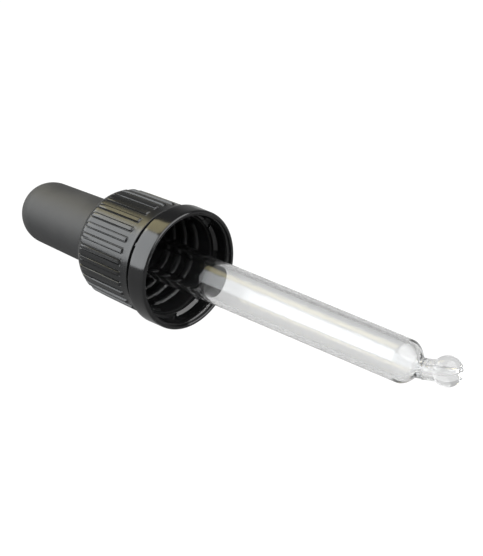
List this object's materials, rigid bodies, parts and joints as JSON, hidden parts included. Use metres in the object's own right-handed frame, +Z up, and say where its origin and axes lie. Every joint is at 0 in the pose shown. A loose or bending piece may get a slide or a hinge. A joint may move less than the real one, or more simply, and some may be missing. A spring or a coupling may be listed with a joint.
{
  "type": "medicine dropper",
  "caption": "Medicine dropper closure: squeezable rubber bulb, ribbed screw cap with internal thread, tamper-evident ring and clear glass pipette with a bent ball tip.",
  "frame": {"origin": "on the ground, under the middle of the dropper's whole length, as it lies on its tamper ring", "axes": "+X along the dropper from the bulb to the glass tip, +Z up, and the tip bends towards +Y"},
  "size_m": [0.1071, 0.0224, 0.0224],
  "materials": {
    "cap_plastic": "satin black",
    "ring_plastic": "smooth glossy black",
    "bulb_rubber": "matt black",
    "clear_glass": "clear, polished"
  },
  "bodies": {
    "cap": {"screw_cap": "cap_plastic"},
    "ring": {"tamper_ring": "ring_plastic"},
    "pipette": {"glass_pipette": "clear_glass"},
    "bulb": {"rubber_bulb": "bulb_rubber"}
  },
  "joints": [
    {"name": "pipette_swivel", "type": "hinge", "parent": "cap", "child": "pipette", "pos_m": [0, 0, 0.01118], "axis": [1, 0, 0], "continuous": true},
    {"name": "ring_release", "type": "slide", "parent": "cap", "child": "ring", "axis": [1, 0, 0], "range_m": [0, 0.07]},
    {"name": "bulb_squeeze", "type": "slide", "parent": "pipette", "child": "bulb", "axis": [0, 0, -1], "range_m": [0, 0.003], "stiffness_N_per_m": 1200, "deforming": ["rubber_bulb"]}
  ]
}
